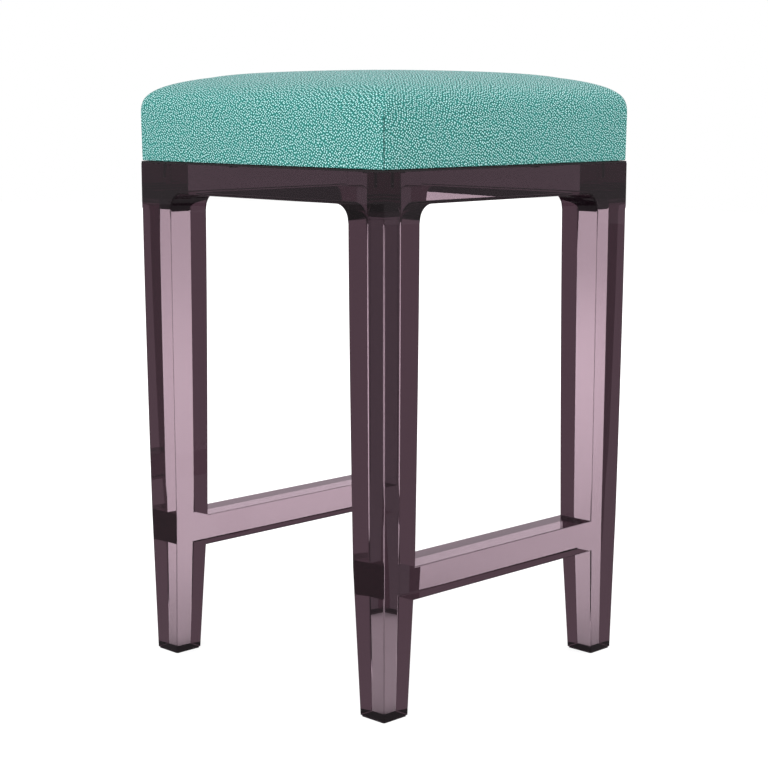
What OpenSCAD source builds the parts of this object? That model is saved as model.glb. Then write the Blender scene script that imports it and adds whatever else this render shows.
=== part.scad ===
// Counter stool: a clear tinted acrylic frame with tapered legs, under a crowned upholstered seat.
// Millimetres, +Z up. The origin is on the floor under the middle of the seat, and the front is -Y.

/* [Frame] */
// Side of the square frame at its top, across the outer faces of the legs
frame_w = 382; // [340:1:440]
// Height of the frame's top above the floor
frame_h = 558.8; // [460:0.1:680]
// Height of the rails under the seat
rail_h = 32.7; // [24:0.1:50]
// Radius of the rounded corner between a rail and a leg
fillet_r = 18; // [8:0.5:30]

/* [Legs] */
// Side of a leg's square section at the top, and the thickness of the rails
leg_w = 50.8; // [46:0.1:60]
// How much narrower a leg is at the knee, level with the top of the stretchers, than at the top
knee_draw = 5.2; // [4:0.1:8]
// Side of a leg's section at the foot
foot_w = 35; // [28:0.5:40]
// How far a leg's outer faces are set in at the knee
knee_inset = 2.7; // [2:0.1:3.5]
// How far a leg's outer faces are set in at the foot
foot_inset = 5.7; // [4:0.1:8]

/* [Stretchers] */
// Height of a stretcher's underside above the floor
stretcher_z = 122.5; // [80:0.5:200]
// Height of a stretcher's section
stretcher_h = 35.2; // [20:0.1:50]

/* [Foot pads] */
// Thickness of the pad under each foot
pad_t = 1.5; // [1:0.1:4]
// How far a pad stops short of the foot's edges
pad_inset = 1; // [0.5:0.1:4]
// Corner radius of a pad
pad_r = 2; // [1:0.1:5]

/* [Seat plate and board] */
// Thickness of the black plate on the frame
plate_t = 2; // [1.5:0.1:4]
// Corner radius of the plate
plate_r = 1; // [0.5:0.1:4]
// Thickness of the seat board
board_t = 15; // [12:0.5:22]
// Thickness of the dust cover under the board
dust_t = 0.5; // [0.3:0.1:1]
// How far the dust cover stops short of the cover's edge
dust_inset = 8; // [4:0.5:14]

/* [Seat] */
// How far the cover's lower edge stands proud of the frame's outer faces
seat_lap = 0.2; // [-1:0.1:1]
// Height of the cover's sides, from its lower edge to where they start to round over
side_h = 48.5; // [38:0.5:80]
// Height of the crown above that level
crown_h = 49.5; // [30:0.5:70]
// How far each side leans out between its lower edge and that level
side_flare = 0.6; // [0:0.1:4]
// How far the middle of each side stands proud of its ends
side_bow = 1.5; // [0:0.1:6]
// Corner radius of the cover, seen from above
seat_r = 3.5; // [3:0.1:10]
// Depth of the seam sunk into each corner
seam_d = 0.8; // [0.3:0.1:1]
// Thickness of the cover cloth
cover_t = 1.5; // [1.2:0.1:2.5]
// Thickness of the batting wrap
batting_t = 5; // [3:0.5:12]
// Width of the hem turned in under the board
hem_w = 35; // [28:1:40]
// Clearance between the soft layers
soft_gap = 0.3; // [0.2:0.05:0.6]

/* [Fasteners] */
// Diameter of the countersunk screws that hold the plate to the legs
frame_screw_d = 4; // [3:0.5:5]
// Length of those screws
frame_screw_l = 18; // [12:1:30]
// Diameter of the screws that hold the seat
seat_screw_d = 6; // [5:0.5:8]
// Distance of those screws from the inner faces of the rails
seat_screw_inset = 35; // [15:1:70]
// Radial clearance of a screw in its hole
screw_gap = 0.1; // [0.05:0.05:0.3]
// Number of staples along each side of the hem
staples_n = 5; // [3:1:9]
// Length of a staple's crown
staple_w = 10; // [6:0.5:13]
// Length of a staple's legs
staple_l = 6; // [4:0.5:8]
// Thickness of the staple wire
wire_t = 0.6; // [0.4:0.1:0.8]

/* [Hidden] */
$fn = 48;

// How far every cut runs past the solid that it cuts
overrun = 1;
half_w = frame_w / 2;
seat_w = frame_w + 2 * seat_lap;
knee_z = stretcher_z + stretcher_h;
knee_w = leg_w - knee_draw;
rail_z = frame_h - rail_h;
fillet_z = rail_z - fillet_r;

// A leg bends from its lower taper to plumb by this power of the height that is left
taper_power_share = 1.5;
// Straight steps that stand for that bend
taper_steps = 8;
// Blunt tip of a rail's rounded corner, so that it doesn't end in a knife edge
fillet_land = fillet_r / 90;

// Levels above the plate: dust cover, hem, board
plate_z = frame_h + plate_t;
hem_z = plate_z + dust_t;
board_z = hem_z + cover_t;
board_top_z = board_z + board_t;
spring_z = hem_z + side_h;

// How far each layer's outer face lies inside the cover's
board_inset = cover_t + soft_gap;
batting_inset = board_inset;
foam_inset = batting_inset + batting_t + soft_gap;
// Corner radius of a layer, which never gets sharper than a quarter of the cover's
function layer_r(inset) = max(seat_r - inset, seat_r / 4);

// Shape of the crown: the height left is (1 - s ^ edge power) ^ crown power, for a share s of the width
edge_power_share = 3;
crown_power_share = 0.29;
// How fast the corners round off towards the middle of the crown, and the most that they take of a level
round_share = 0.5;
round_cap_share = 0.8;
// Steps in a quarter corner (an even number, with the seam on the middle one), a side, a wall and the crown
corner_steps = 4;
side_steps = 4;
wall_steps = 3;
crown_steps = 12;

// Screws: the countersunk head is as deep as the plate, and twice the shank across
frame_head_d = frame_screw_d * 2;
frame_screw_x = half_w - leg_w / 2;
frame_hole_l = frame_screw_l - plate_t + frame_screw_d / 2;
seat_screw_x = half_w - leg_w - seat_screw_inset;
seat_head_d = seat_screw_d * 1.75;
seat_head_h = seat_screw_d * 0.55;
washer_d = seat_screw_d * 2.4;
washer_t = seat_screw_d / 5;
hex_key_share = 0.5;
hex_depth_share = 0.5;
tee_flange_d = seat_screw_d * 3;
tee_flange_t = seat_screw_d / 4;
tee_barrel_d = seat_screw_d * 1.35;
tee_barrel_l = board_t * 0.6;
// A seat screw ends just under the face of its tee nut's flange
seat_screw_l = washer_t + board_top_z - frame_h - tee_flange_t;
// Line of the staples, as a share of the hem's width from the seat's edge
staple_line_share = 0.6;
// Stretch of each side that carries staples
staple_row_share = 0.62;

// How far a leg's outer face is set in at height z
function outer_at(z) =
    z <= knee_z
        ? foot_inset + (knee_inset - foot_inset) * (z - pad_t) / (knee_z - pad_t)
        : knee_inset * left_at(z);

// Distance of a leg's inner face from the frame's outer plane at height z
function inner_at(z) =
    z <= knee_z
        ? foot_inset + foot_w + (knee_inset + knee_w - foot_inset - foot_w) * (z - pad_t) / (knee_z - pad_t)
        : leg_w - (leg_w - knee_inset - knee_w) * left_at(z);

// What is left of the bend at height z, from 1 at the knee to 0 at the foot of the rounded corner
function left_at(z) = pow(max(0, fillet_z - z) / (fillet_z - knee_z), taper_power_share);

// Heights at which a leg's outline has a point, from the foot up
leg_levels = concat(
    [pad_t, knee_z],
    [for (i = [1 : taper_steps]) knee_z + (fillet_z - knee_z) * i / taper_steps],
    [frame_h]
);

// Outline of a member between its outer and inner faces, over a list of heights
function taper_outline(levels) = concat(
    [for (z = levels) [outer_at(z), z]],
    [for (i = [len(levels) - 1 : -1 : 0]) [inner_at(levels[i]), levels[i]]]
);

// Runs an outline of (x, z) points along +Y
module along_y(l) {
    translate([0, l, 0])
        rotate([90, 0, 0])
            linear_extrude(l)
                children();
}

// Runs an outline of (y, z) points along +X
module along_x(l) {
    rotate([90, 0, 90])
        linear_extrude(l)
            children();
}

// Copies its children to the four corners given by a distance each way from the middle
module four_corners(x, y) {
    for (sx = [-1, 1], sy = [-1, 1])
        translate([sx * x, sy * y, 0])
            children();
}

// Turns the front piece to another side: 0 front, 1 right, 2 rear, 3 left
module on_side(side) {
    rotate([0, 0, 90 * side])
        children();
}

// Flat plate with rounded corners, centred, from z = 0 up
module rounded_plate(w, r, t) {
    translate([-w / 2, r - w / 2, 0])
        cube([w, w - 2 * r, t]);
    translate([r - w / 2, -w / 2, 0])
        cube([w - 2 * r, w, t]);
    four_corners(w / 2 - r, w / 2 - r)
        cylinder(r = r, h = t);
}

// Round hole from height z up
module hole(d, z, l) {
    translate([0, 0, z])
        cylinder(d = d, h = l);
}

// Hexagonal recess for a key, cut into a head of diameter d from height z up
module key_recess(d, z, l) {
    translate([0, 0, z])
        cylinder(d = d, h = l, $fn = 6);
}

// Front left leg; the others are its mirror images
module leg() {
    color([0.45, 0.34, 0.40, 0.6])
        difference() {
            translate([-half_w, -half_w, 0])
                intersection() {
                    along_y(half_w)
                        polygon(taper_outline(leg_levels));
                    along_x(half_w)
                        polygon(taper_outline(leg_levels));
                }
            translate([-frame_screw_x, -frame_screw_x, 0])
                hole(frame_screw_d + 2 * screw_gap, frame_h - frame_hole_l, frame_hole_l + overrun);
        }
}

module leg_front_left() {
    leg();
}

module leg_front_right() {
    mirror([1, 0, 0])
        leg();
}

module leg_rear_left() {
    mirror([0, 1, 0])
        leg();
}

module leg_rear_right() {
    rotate([0, 0, 180])
        leg();
}

// Front rail, arched between the legs: a bar with a rounded corner under each end
module rail() {
    span = frame_w - 2 * leg_w;
    arc_x = span / 2 - fillet_land - fillet_r;
    color([0.40, 0.30, 0.36, 0.6])
        translate([0, -half_w, 0])
            along_y(leg_w)
                difference() {
                    translate([-span / 2, fillet_z])
                        square([span, rail_h + fillet_r]);
                    translate([-arc_x, fillet_z - overrun])
                        square([2 * arc_x, fillet_r + overrun]);
                    for (side = [-1, 1])
                        translate([side * arc_x, fillet_z])
                            circle(r = fillet_r);
                }
}

module rail_front() {
    on_side(0)
        rail();
}

module rail_right() {
    on_side(1)
        rail();
}

module rail_rear() {
    on_side(2)
        rail();
}

module rail_left() {
    on_side(3)
        rail();
}

// Front stretcher: it follows the legs' outer, inner and side faces, so that it lies flush with them
module stretcher() {
    levels = [stretcher_z, knee_z];
    color([0.52, 0.42, 0.48, 0.6])
        intersection() {
            translate([-half_w, -half_w, 0])
                along_x(frame_w)
                    polygon(taper_outline(levels));
            translate([0, -half_w, 0])
                along_y(leg_w)
                    polygon([
                        [inner_at(stretcher_z) - half_w, stretcher_z],
                        [half_w - inner_at(stretcher_z), stretcher_z],
                        [half_w - inner_at(knee_z), knee_z],
                        [inner_at(knee_z) - half_w, knee_z]
                    ]);
        }
}

module stretcher_front() {
    on_side(0)
        stretcher();
}

module stretcher_rear() {
    on_side(2)
        stretcher();
}

// Pad under one foot, at the corner given by two signs
module foot_pad(sx, sy) {
    foot_x = half_w - foot_inset - foot_w / 2;
    color([0.08, 0.08, 0.08])
        translate([sx * foot_x, sy * foot_x, 0])
            rounded_plate(foot_w - 2 * pad_inset, pad_r, pad_t);
}

module foot_pad_front_left() {
    foot_pad(-1, -1);
}

module foot_pad_front_right() {
    foot_pad(1, -1);
}

module foot_pad_rear_left() {
    foot_pad(-1, 1);
}

module foot_pad_rear_right() {
    foot_pad(1, 1);
}

// Black plate that hides the underside of the seat, with countersinks over the legs
module seat_plate() {
    color([0.05, 0.05, 0.05])
        difference() {
            translate([0, 0, frame_h])
                rounded_plate(frame_w, plate_r, plate_t);
            four_corners(frame_screw_x, frame_screw_x)
                countersunk_shape(screw_gap, overrun);
            four_corners(seat_screw_x, seat_screw_x)
                hole(seat_screw_d + 2 * screw_gap, frame_h - overrun, plate_t + 2 * overrun);
        }
}

// Screw with a cone head as deep as the plate, grown by a gap all round; the cone can run on past the plate
module countersunk_shape(gap, run_on) {
    flare_d = (frame_head_d - frame_screw_d) * run_on / plate_t;
    hole(frame_screw_d + 2 * gap, plate_z - frame_screw_l, frame_screw_l);
    translate([0, 0, frame_h])
        cylinder(
            d1 = frame_screw_d + 2 * gap,
            d2 = frame_head_d + 2 * gap + flare_d,
            h = plate_t + run_on
        );
}

module frame_screws() {
    color([0.16, 0.16, 0.17])
        four_corners(frame_screw_x, frame_screw_x)
            difference() {
                countersunk_shape(0, 0);
                key_recess(
                    frame_head_d * hex_key_share,
                    plate_z - plate_t * hex_depth_share,
                    plate_t * hex_depth_share + overrun
                );
            }
}

// Seat board: clearance holes with the tee nuts let in flush, and the slots that the staples make
module seat_board() {
    color([0.80, 0.66, 0.46])
        difference() {
            translate([0, 0, board_z])
                rounded_plate(seat_w - 2 * board_inset, layer_r(board_inset), board_t);
            four_corners(seat_screw_x, seat_screw_x) {
                hole(tee_barrel_d + 2 * screw_gap, board_z - overrun, board_t + 2 * overrun);
                hole(tee_flange_d + 2 * screw_gap, board_top_z - tee_flange_t, tee_flange_t + overrun);
            }
            staple_row();
        }
}

module tee_nuts() {
    color([0.72, 0.72, 0.70])
        four_corners(seat_screw_x, seat_screw_x)
            difference() {
                union() {
                    hole(tee_flange_d, board_top_z - tee_flange_t, tee_flange_t);
                    hole(tee_barrel_d, board_top_z - tee_barrel_l, tee_barrel_l);
                }
                hole(seat_screw_d + 2 * screw_gap, board_top_z - tee_barrel_l - overrun, tee_barrel_l + 2 * overrun);
            }
}

module seat_screws() {
    head_z = frame_h - washer_t;
    color([0.20, 0.20, 0.21])
        four_corners(seat_screw_x, seat_screw_x)
            difference() {
                union() {
                    hole(seat_head_d, head_z - seat_head_h, seat_head_h);
                    hole(seat_screw_d, head_z - seat_head_h / 2, seat_screw_l + seat_head_h / 2);
                }
                key_recess(
                    seat_head_d * hex_key_share,
                    head_z - seat_head_h - overrun,
                    seat_head_h * hex_depth_share + overrun
                );
            }
}

module seat_washers() {
    color([0.20, 0.20, 0.21])
        four_corners(seat_screw_x, seat_screw_x)
            difference() {
                hole(washer_d, frame_h - washer_t, washer_t);
                hole(seat_screw_d + 2 * screw_gap, frame_h - washer_t - overrun, washer_t + 2 * overrun);
            }
}

// One staple, let into the hem with its legs up into the board
module staple() {
    for (side = [-1, 1])
        translate([side * (staple_w - wire_t) / 2 - wire_t / 2, -wire_t / 2, hem_z])
            cube([wire_t, wire_t, staple_l]);
    translate([-staple_w / 2, -wire_t / 2, hem_z])
        cube([staple_w, wire_t, wire_t]);
}

// The staples along all four sides
module staple_row() {
    line_y = seat_w / 2 - hem_w * staple_line_share;
    row_w = seat_w * staple_row_share;
    for (side = [0 : 3], i = [0 : staples_n - 1])
        on_side(side)
            translate([row_w * (i / (staples_n - 1) - 1 / 2), -line_y, 0])
                staple();
}

module hem_staples() {
    color([0.70, 0.70, 0.72])
        staple_row();
}

module dust_cover() {
    color([0.10, 0.10, 0.10])
        difference() {
            translate([0, 0, plate_z])
                rounded_plate(seat_w - 2 * dust_inset, seat_r, dust_t);
            four_corners(seat_screw_x, seat_screw_x)
                hole(seat_screw_d + 2 * screw_gap, plate_z - overrun, dust_t + 2 * overrun);
        }
}

// Quarter turns of a point about the origin
function turned(p, n) = n == 0 ? p : turned([-p[1], p[0]], n - 1);

// One level of the seat's form: a square with rounded corners, bowed sides and a seam sunk in each corner
function ring(half, r, bow, seam, z) = [
    for (quarter = [0 : 3])
        for (p = concat(
            [for (i = [0 : corner_steps])
                let (
                    turn = 90 * i / corner_steps,
                    reach = r - (i == corner_steps / 2 ? seam : 0)
                )
                [half - r + reach * cos(turn), half - r + reach * sin(turn)]],
            [for (i = [1 : side_steps - 1])
                let (along = 1 - 2 * i / side_steps)
                [(half - r) * along, half + bow * (1 - along * along)]]
        ))
            let (q = turned(p, quarter))
            [q[0], q[1], z]
];

// Levels of the form from height z up, drawn in by an inset: the walls, then the crown
function form_rings(inset, z, seam) = concat(
    [for (i = [0 : wall_steps])
        let (
            level = z + (spring_z - z) * i / wall_steps,
            rise = (level - hem_z) / side_h
        )
        ring(
            seat_w / 2 + side_flare * rise - inset,
            layer_r(inset),
            side_bow * sin(90 * rise),
            seam,
            level
        )],
    [for (i = [1 : crown_steps - 1])
        let (
            share = cos(90 * i / crown_steps),
            edge_half = seat_w / 2 + side_flare - inset,
            half = edge_half * share,
            r = min(layer_r(inset) + round_share * (edge_half - half), round_cap_share * half)
        )
        ring(half, r, side_bow * share, seam * pow(share, 4), crown_at(share, inset))]
);

// Height of the crown at a share of the width from the middle
function crown_at(share, inset) =
    spring_z + (crown_h - inset) * pow(1 - pow(share, edge_power_share), crown_power_share);

ring_n = 4 * (corner_steps + side_steps);

// Triangles between successive rings, from the point numbered first; clockwise from outside when facing out
function wall_faces(rings_n, first, outside) = [
    for (level = [0 : rings_n - 2], i = [0 : ring_n - 1])
        let (
            a = first + level * ring_n + i,
            b = first + level * ring_n + (i + 1) % ring_n,
            c = b + ring_n,
            d = a + ring_n
        )
        each (outside ? [[a, d, c], [a, c, b]] : [[a, c, d], [a, b, c]])
];

// Triangles from the last ring to the point at its middle
function fan_faces(first, middle, outside) = [
    for (i = [0 : ring_n - 1])
        let (a = first + i, b = first + (i + 1) % ring_n)
        outside ? [a, middle, b] : [a, b, middle]
];

// Solid form, flat underneath
module form_solid(inset, z) {
    rings = form_rings(inset, z, 0);
    rings_n = len(rings);
    points = concat([for (level = rings) each level], [[0, 0, crown_at(0, inset)], [0, 0, z]]);
    top = rings_n * ring_n;
    polyhedron(
        points = points,
        faces = concat(
            wall_faces(rings_n, 0, true),
            fan_faces(top - ring_n, top, true),
            fan_faces(0, top + 1, false)
        ),
        convexity = 4
    );
}

// Shell between two insets of the form, open underneath
module form_shell(outer_inset, inner_inset, z, seam) {
    outer_rings = form_rings(outer_inset, z, seam);
    inner_rings = form_rings(inner_inset, z, 0);
    rings_n = len(outer_rings);
    outer_top = rings_n * ring_n;
    inner_first = outer_top + 1;
    inner_top = inner_first + rings_n * ring_n;
    points = concat(
        [for (level = outer_rings) each level],
        [[0, 0, crown_at(0, outer_inset)]],
        [for (level = inner_rings) each level],
        [[0, 0, crown_at(0, inner_inset)]]
    );
    rim = [
        for (i = [0 : ring_n - 1])
            let (
                a = i,
                b = (i + 1) % ring_n,
                c = inner_first + b,
                d = inner_first + a
            )
            each [[a, b, c], [a, c, d]]
    ];
    polyhedron(
        points = points,
        faces = concat(
            wall_faces(rings_n, 0, true),
            fan_faces(outer_top - ring_n, outer_top, true),
            wall_faces(rings_n, inner_first, false),
            fan_faces(inner_top - ring_n, inner_top, false),
            rim
        ),
        convexity = 4
    );
}

module foam_pad() {
    color([0.93, 0.86, 0.62])
        form_solid(foam_inset, board_top_z);
}

module batting_wrap() {
    color([0.95, 0.95, 0.93])
        form_shell(batting_inset, batting_inset + batting_t, board_top_z, 0);
}

// Cover with its hem turned in under the board
module seat_cover() {
    hem_outline = ring(seat_w / 2 - cover_t / 2, seat_r - cover_t / 2, 0, 0, 0);
    window_w = seat_w - 2 * hem_w;
    color([0.42, 0.70, 0.67]) {
        form_shell(0, cover_t, hem_z, seam_d);
        difference() {
            translate([0, 0, hem_z])
                linear_extrude(cover_t)
                    polygon([for (p = hem_outline) [p[0], p[1]]]);
            translate([-window_w / 2, -window_w / 2, hem_z - overrun])
                cube([window_w, window_w, cover_t + 2 * overrun]);
            staple_row();
        }
    }
}

leg_front_left();
leg_front_right();
leg_rear_left();
leg_rear_right();
rail_front();
rail_rear();
rail_left();
rail_right();
stretcher_front();
stretcher_rear();
foot_pad_front_left();
foot_pad_front_right();
foot_pad_rear_left();
foot_pad_rear_right();
seat_plate();
frame_screws();
seat_board();
tee_nuts();
seat_screws();
seat_washers();
hem_staples();
dust_cover();
foam_pad();
batting_wrap();
seat_cover();
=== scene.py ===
import math

import bmesh
import bpy
import numpy as np
from mathutils import Euler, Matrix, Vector


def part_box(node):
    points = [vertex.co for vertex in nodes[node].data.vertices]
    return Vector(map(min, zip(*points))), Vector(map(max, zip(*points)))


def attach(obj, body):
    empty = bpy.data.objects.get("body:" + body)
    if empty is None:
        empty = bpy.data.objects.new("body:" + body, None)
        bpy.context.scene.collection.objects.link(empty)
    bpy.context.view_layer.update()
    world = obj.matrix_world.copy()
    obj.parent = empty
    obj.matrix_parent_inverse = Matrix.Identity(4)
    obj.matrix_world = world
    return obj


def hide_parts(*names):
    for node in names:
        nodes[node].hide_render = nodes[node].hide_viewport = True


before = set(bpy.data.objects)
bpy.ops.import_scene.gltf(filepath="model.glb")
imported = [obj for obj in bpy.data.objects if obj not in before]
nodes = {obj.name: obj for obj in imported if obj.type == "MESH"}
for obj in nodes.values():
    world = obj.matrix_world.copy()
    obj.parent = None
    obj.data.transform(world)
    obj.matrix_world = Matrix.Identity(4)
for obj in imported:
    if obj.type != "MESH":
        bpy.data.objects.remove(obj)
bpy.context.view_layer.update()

# Counter stool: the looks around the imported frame. Metres, +Z up, the front faces -Y.

scene = bpy.context.scene

# Sizes of the clear frame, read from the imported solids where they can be: half its width, a leg's
# width under the seat, and the heights of its top, of the rails' undersides and of the stretchers
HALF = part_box("seat_plate")[1].x
FRAME_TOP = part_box("seat_plate")[0].z
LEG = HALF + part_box("rail_front")[0].x
FILLET_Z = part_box("rail_front")[0].z
STRETCHER_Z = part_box("stretcher_front")[0].z
KNEE_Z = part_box("stretcher_front")[1].z
PAD_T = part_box("foot_pad_front_left")[1].z
# Rounding under the rails' ends
FILLET_R = 0.018
FILLET_STEPS = 14
# Width of a leg, and how far its outer faces are set in, at the foot and at the stretchers' tops
FOOT_W = 0.035
FOOT_INSET = 0.0057
KNEE_W = 0.0456
KNEE_INSET = 0.0027
# A leg's faces bend gently between the stretchers' tops and the rails
BEND_POWER = 1.5
BEND_STEPS = 8
# How far the clear frame reaches into the pads and the plate, so that no air is left between them
WET_CONTACT = 0.00005
# Width of the broken edges, and the share of it at the feet
EDGE_BREAK = 0.0013
EDGE_SEGMENTS = 3
FOOT_SOFTNESS = 0.4
# Beside the rails the legs' corners stay sharp; the break fades out over this height under them
BREAK_FADE = 0.002
# Least angle at an edge that is broken, and least cosine between faces that shade as one
BROKEN_ANGLE = math.radians(35)
SAME_FACE = math.cos(math.radians(12))

# Sizes of the seat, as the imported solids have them: it laps over the frame, its sides rise from the
# hem to the spring of the crown, and the cover, the batting and the foam lie one in the other
SEAT_LAP = 0.0002
SEAT_HALF = HALF + SEAT_LAP
HEM_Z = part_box("seat_cover")[0].z
SEAT_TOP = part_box("seat_cover")[1].z
BOARD_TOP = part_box("seat_board")[1].z
SIDE_H = 0.0485
SPRING_Z = HEM_Z + SIDE_H
CROWN_H = SEAT_TOP - SPRING_Z
# How far the sides lean out at their tops, and bow out between the corners
SIDE_FLARE = 0.0006
SIDE_BOW = 0.0015
SEAT_R = 0.0035
SEAM_DEPTH = 0.0008
COVER_T = 0.0015
BATTING_T = 0.005
SOFT_GAP = 0.0003
HEM_W = 0.035
# The crown's height at a share of its half width, of 1: (1 - share ^ EDGE_POWER) ^ CROWN_POWER
EDGE_POWER = 3
CROWN_POWER = 0.29
# Growth of the corners' radius with the way in from the edge, and the most of the half width that it takes
ROUND_SHARE = 0.5
ROUND_CAP = 0.8


# Camera

# Place in metres, tilt, turn and lens that lay the frame's edges over the photographed ones
CAMERA_PLACE = (-1.4423, -1.4423, 0.6323)
CAMERA_TILT_DEG = 81.005
CAMERA_TURN_DEG = -45
LENS_MM = 85.34
SENSOR_MM = 36
# Nothing in the scene is farther from the camera than this
FARTHEST = 60


def make_camera():
    data = bpy.data.cameras.new("camera")
    data.lens = LENS_MM
    data.sensor_width = SENSOR_MM
    data.clip_end = FARTHEST
    camera = bpy.data.objects.new("camera", data)
    camera.location = CAMERA_PLACE
    tilt, turn = math.radians(CAMERA_TILT_DEG), math.radians(CAMERA_TURN_DEG)
    camera.rotation_euler = Euler((tilt, 0, turn))
    scene.collection.objects.link(camera)
    scene.camera = camera


# Node trees

class Tree:
    """A node tree with short ways to add nodes and join them."""

    def __init__(self, tree):
        self.nodes = tree.nodes
        self.links = tree.links

    def set(self, node, inputs):
        for name, value in inputs.items():
            socket = node.inputs[name]
            if isinstance(value, bpy.types.NodeSocket):
                self.links.new(value, socket)
            else:
                socket.default_value = value

    def add(self, kind, inputs=None, output=0, **settings):
        node = self.nodes.new(kind)
        for name, value in settings.items():
            setattr(node, name, value)
        self.set(node, inputs or {})
        return node.outputs[output]

    def math(self, operation, a, b=0.0):
        return self.add("ShaderNodeMath", {0: a, 1: b}, operation=operation)

    def ramp(self, value, low, high, to_low=0.0, to_high=1.0, smooth=True):
        """Maps value from low..high to to_low..to_high, held at both ends."""
        ends = {"From Min": low, "From Max": high, "To Min": to_low, "To Max": to_high}
        kind = "SMOOTHSTEP" if smooth else "LINEAR"
        return self.add("ShaderNodeMapRange", {"Value": value, **ends}, interpolation_type=kind)

    def mix(self, share, a, b):
        """Mixes two colours."""
        return self.add("ShaderNodeMix", {0: share, 6: a, 7: b}, output=2, data_type="RGBA")

    def mix_shaders(self, share, a, b):
        return self.add("ShaderNodeMixShader", {0: share, 1: a, 2: b})

    def noise(self, place, scale, detail, rough=0.5):
        inputs = {"Vector": place, "Scale": scale, "Detail": detail, "Roughness": rough}
        return self.add("ShaderNodeTexNoise", inputs)

    def cells(self, place, scale, output=0, random=1.0, **settings):
        inputs = {"Vector": place, "Scale": scale, "Randomness": random}
        return self.add("ShaderNodeTexVoronoi", inputs, output=output, **settings)

    def stretch(self, place, scale):
        return self.add("ShaderNodeMapping", {"Vector": place, "Scale": scale})

    def bump(self, height, strength, distance):
        inputs = {"Height": height, "Strength": strength, "Distance": distance}
        return self.add("ShaderNodeBump", inputs)

    def place(self):
        return self.add("ShaderNodeTexCoord", output="Object")

    def map(self):
        return self.add("ShaderNodeTexCoord", output="UV")

    def attribute(self, name):
        return self.add("ShaderNodeAttribute", output="Fac", attribute_name=name)

    def only(self, kind):
        """The one node of a kind that the tree has."""
        return next(n for n in self.nodes if n.type == kind)


def new_material(name):
    """An empty procedural material, its tree and its Principled shader."""
    material = bpy.data.materials.new(name)
    material.use_nodes = True
    tree = Tree(material.node_tree)
    return material, tree, material.node_tree.nodes["Principled BSDF"]


def linear(value):
    """A linear brightness from an sRGB value of 0 to 255."""
    share = value / 255
    return share / 12.92 if value <= 10 else ((share + 0.055) / 1.055) ** 2.4


def rgb(red, green, blue):
    """A linear colour from sRGB values of 0 to 255."""
    return (linear(red), linear(green), linear(blue), 1.0)


# Materials

ACRYLIC_IOR = 1.49
# Light left after a straight way of this length through a leg
ACRYLIC_PASS = (0.44, 0.315, 0.375)
LEG_WAY = 0.0577
# Share of that loss that happens in the depth of the acrylic; the rest happens at its surface
DEPTH_SHARE = 0.35
# The absorption's density is kept this much above the strongest loss, so that no colour reaches zero
DENSITY_MARGIN = 1.02


def acrylic_surface():
    """Colour that takes the surface's share of the light."""
    return tuple(c ** (1 - DEPTH_SHARE) for c in ACRYLIC_PASS) + (1,)


def acrylic_depth():
    """Colour and density of the absorption that takes the rest of the light over a leg's width."""
    loss = [-DEPTH_SHARE * math.log(c) / LEG_WAY for c in ACRYLIC_PASS]
    density = max(loss) * DENSITY_MARGIN
    return tuple(1 - x / density for x in loss) + (1,), density


def acrylic_material():
    """Clear tinted acrylic: polished, with faint hairlines and a few wiped smudges."""
    material, tree, shader = new_material("tinted_acrylic")
    place = tree.place()
    hairlines = tree.noise(tree.stretch(place, (900, 900, 14)), 1, 2, 0.6)
    smudges = tree.noise(place, 18, 3, 0.6)
    worn = tree.math("MULTIPLY", tree.ramp(hairlines, 0.68, 0.75), tree.ramp(smudges, 0.55, 0.7))
    tree.set(shader, {
        "Base Color": acrylic_surface(),
        "Transmission Weight": 1,
        "IOR": ACRYLIC_IOR,
        "Roughness": tree.ramp(worn, 0, 1, 0.0, 0.04, smooth=False),
    })
    tint, density = acrylic_depth()
    volume = tree.add("ShaderNodeVolumeAbsorption", {"Color": tint, "Density": density})
    tree.set(tree.only("OUTPUT_MATERIAL"), {"Volume": volume})
    return material


# Pebbles are set this far apart down the cloth, and so much further along the sides
PEBBLE_PITCH = 0.0024
PEBBLE_STRETCH = 1.35
PEBBLE_RANDOM = 0.68
PEBBLE_TURN = math.radians(33)
PEBBLE_HEIGHT = 0.00035
# Way in from a pebble's edge to where its dome is full, in pitches. Towards the edge the colour turns dark:
# partly the ground's own tone, partly painted shade in the grooves between the pebbles
DOME_FULL = 0.3
# Ways out from a pebble's middle to where its pale cap ends, and to where it is full. The cap is partly the
# pebble's own pale tone, partly a painted highlight on its top
CAP_END = 0.34
CAP_FULL = 0.14
# Cap of the dullest pebble, as a share of the brightest one's
CAP_LEAST = 0.72
# How far the rows of pebbles drift off the straight, and how many drifts there are to a metre
DRIFT = 0.005
DRIFTS = 26
# Cloth colours. The pale one is partly the pebbles' own tone, partly a painted highlight; the dark one is
# partly the ground's own tone, partly painted shade in the grooves
COVER_PALE_AND_HIGHLIGHT = rgb(203, 255, 254)
COVER_BODY = rgb(56, 160, 150)
COVER_DARK_AND_SHADE = rgb(4, 68, 62)
COVER_MOTTLE = rgb(70, 150, 146)
COVER_SEAM = rgb(4, 60, 56)


def stretched_along_sides(tree, flat, place):
    """Scales a place down along the side that its point of the flat cloth belongs to."""
    split = tree.nodes.new("ShaderNodeSeparateXYZ")
    tree.set(split, {"Vector": flat})
    across, down = (tree.math("ABSOLUTE", split.outputs[i]) for i in (0, 1))
    end_side = tree.math("GREATER_THAN", across, down)
    by_x = tree.stretch(place, (1 / PEBBLE_STRETCH, 1, 1))
    by_y = tree.stretch(place, (1, 1 / PEBBLE_STRETCH, 1))
    scaled = tree.add("ShaderNodeMix", {0: end_side, 4: by_x, 5: by_y}, output=1, data_type="VECTOR")
    return tree.add("ShaderNodeMapping", {"Vector": scaled, "Rotation": (0, 0, PEBBLE_TURN)})


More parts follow.
